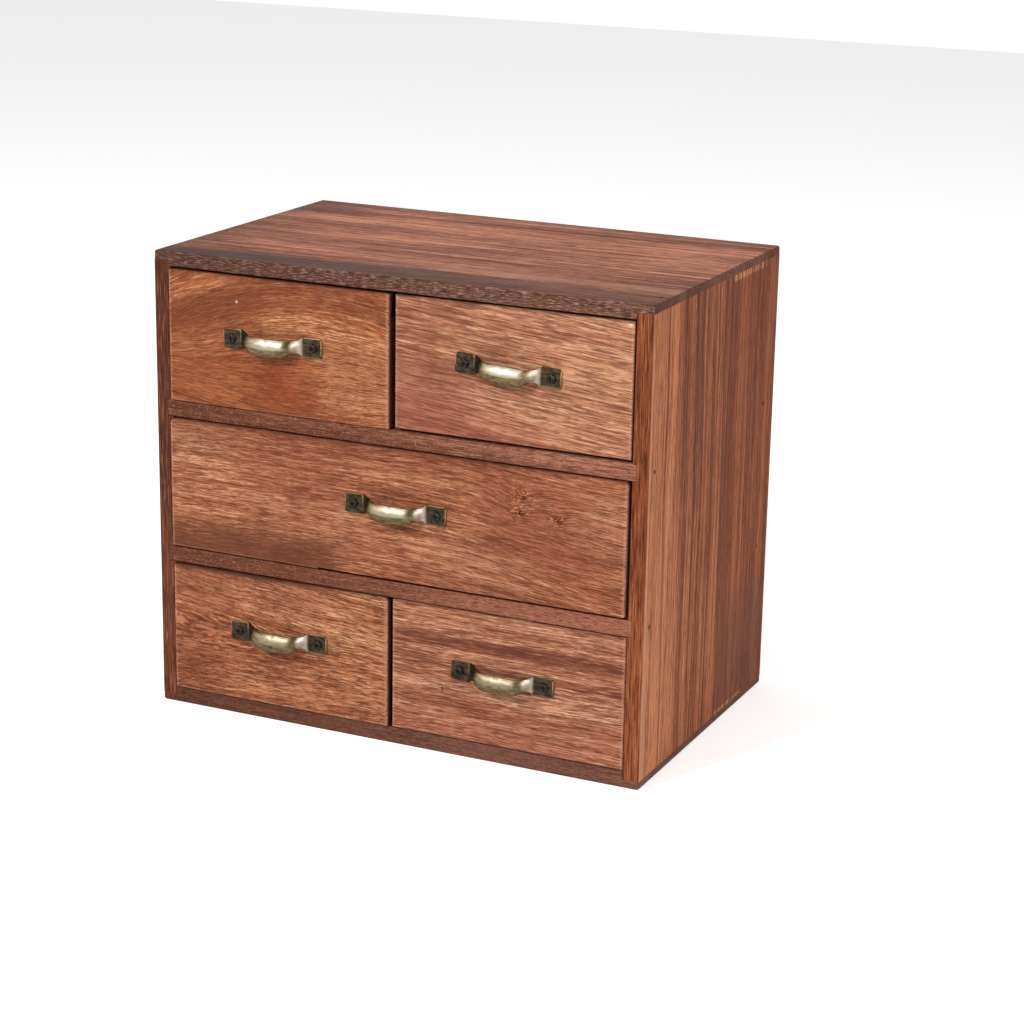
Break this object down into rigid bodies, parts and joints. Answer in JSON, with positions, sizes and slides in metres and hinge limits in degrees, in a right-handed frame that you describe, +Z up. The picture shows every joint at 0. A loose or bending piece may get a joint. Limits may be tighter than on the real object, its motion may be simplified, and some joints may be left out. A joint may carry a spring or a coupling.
{
  "type": "desktop mini drawers",
  "caption": "Small stained-wood desktop cabinet: half-width drawers above and below a full-width one, each sliding on the board below it, with antique-brass bow pulls.",
  "frame": {"origin": "middle of the case's underside", "axes": "+X to the viewer's right along the width, -Y to the front where the drawers open, +Z up"},
  "size_m": [0.254, 0.173, 0.225],
  "materials": {
    "case_wood": "satin reddish walnut stain, vertical grain, dark streaks",
    "top_wood": "satin reddish brown stain with a charred front edge",
    "front_wood": "satin orange-brown stain with dark pores",
    "drawer_wood": "softwood with a thin dark stain",
    "plywood": "thin plywood, unfinished",
    "dark_plywood": "thin plywood, dark stain",
    "antique_brass": "antique brass, worn bright on the bow and dark on the feet",
    "dark_screws": "blackened steel",
    "brad_steel": "plain steel"
  },
  "bodies": {
    "case": {"top_board": "top_wood", "bottom_board": "case_wood", "left_side": "case_wood", "right_side": "case_wood", "upper_shelf": "case_wood", "lower_shelf": "case_wood", "upper_divider": "dark_plywood", "lower_divider": "dark_plywood", "back_panel": "dark_plywood", "top_board_brads": "brad_steel", "bottom_board_brads": "brad_steel", "shelf_brads": "brad_steel", "back_panel_brads": "brad_steel"},
    "upper_left_drawer": {"upper_left_front": "front_wood", "upper_left_left_wall": "drawer_wood", "upper_left_right_wall": "drawer_wood", "upper_left_rear_wall": "drawer_wood", "upper_left_bottom": "plywood", "upper_left_pull": "antique_brass", "upper_left_pull_screws": "dark_screws", "upper_left_drawer_brads": "brad_steel"},
    "upper_right_drawer": {"upper_right_front": "front_wood", "upper_right_left_wall": "drawer_wood", "upper_right_right_wall": "drawer_wood", "upper_right_rear_wall": "drawer_wood", "upper_right_bottom": "plywood", "upper_right_pull": "antique_brass", "upper_right_pull_screws": "dark_screws", "upper_right_drawer_brads": "brad_steel"},
    "middle_drawer": {"middle_front": "front_wood", "middle_left_wall": "drawer_wood", "middle_right_wall": "drawer_wood", "middle_rear_wall": "drawer_wood", "middle_bottom": "plywood", "middle_pull": "antique_brass", "middle_pull_screws": "dark_screws", "middle_drawer_brads": "brad_steel"},
    "lower_left_drawer": {"lower_left_front": "front_wood", "lower_left_left_wall": "drawer_wood", "lower_left_right_wall": "drawer_wood", "lower_left_rear_wall": "drawer_wood", "lower_left_bottom": "plywood", "lower_left_pull": "antique_brass", "lower_left_pull_screws": "dark_screws", "lower_left_drawer_brads": "brad_steel"},
    "lower_right_drawer": {"lower_right_front": "front_wood", "lower_right_left_wall": "drawer_wood", "lower_right_right_wall": "drawer_wood", "lower_right_rear_wall": "drawer_wood", "lower_right_bottom": "plywood", "lower_right_pull": "antique_brass", "lower_right_pull_screws": "dark_screws", "lower_right_drawer_brads": "brad_steel"}
  },
  "joints": [
    {"name": "upper_left_slide", "type": "slide", "parent": "case", "child": "upper_left_drawer", "axis": [0, -1, 0], "range_m": [0, 0.13]},
    {"name": "upper_right_slide", "type": "slide", "parent": "case", "child": "upper_right_drawer", "axis": [0, -1, 0], "range_m": [0, 0.13]},
    {"name": "middle_slide", "type": "slide", "parent": "case", "child": "middle_drawer", "axis": [0, -1, 0], "range_m": [0, 0.13]},
    {"name": "lower_left_slide", "type": "slide", "parent": "case", "child": "lower_left_drawer", "axis": [0, -1, 0], "range_m": [0, 0.13]},
    {"name": "lower_right_slide", "type": "slide", "parent": "case", "child": "lower_right_drawer", "axis": [0, -1, 0], "range_m": [0, 0.13]}
  ]
}
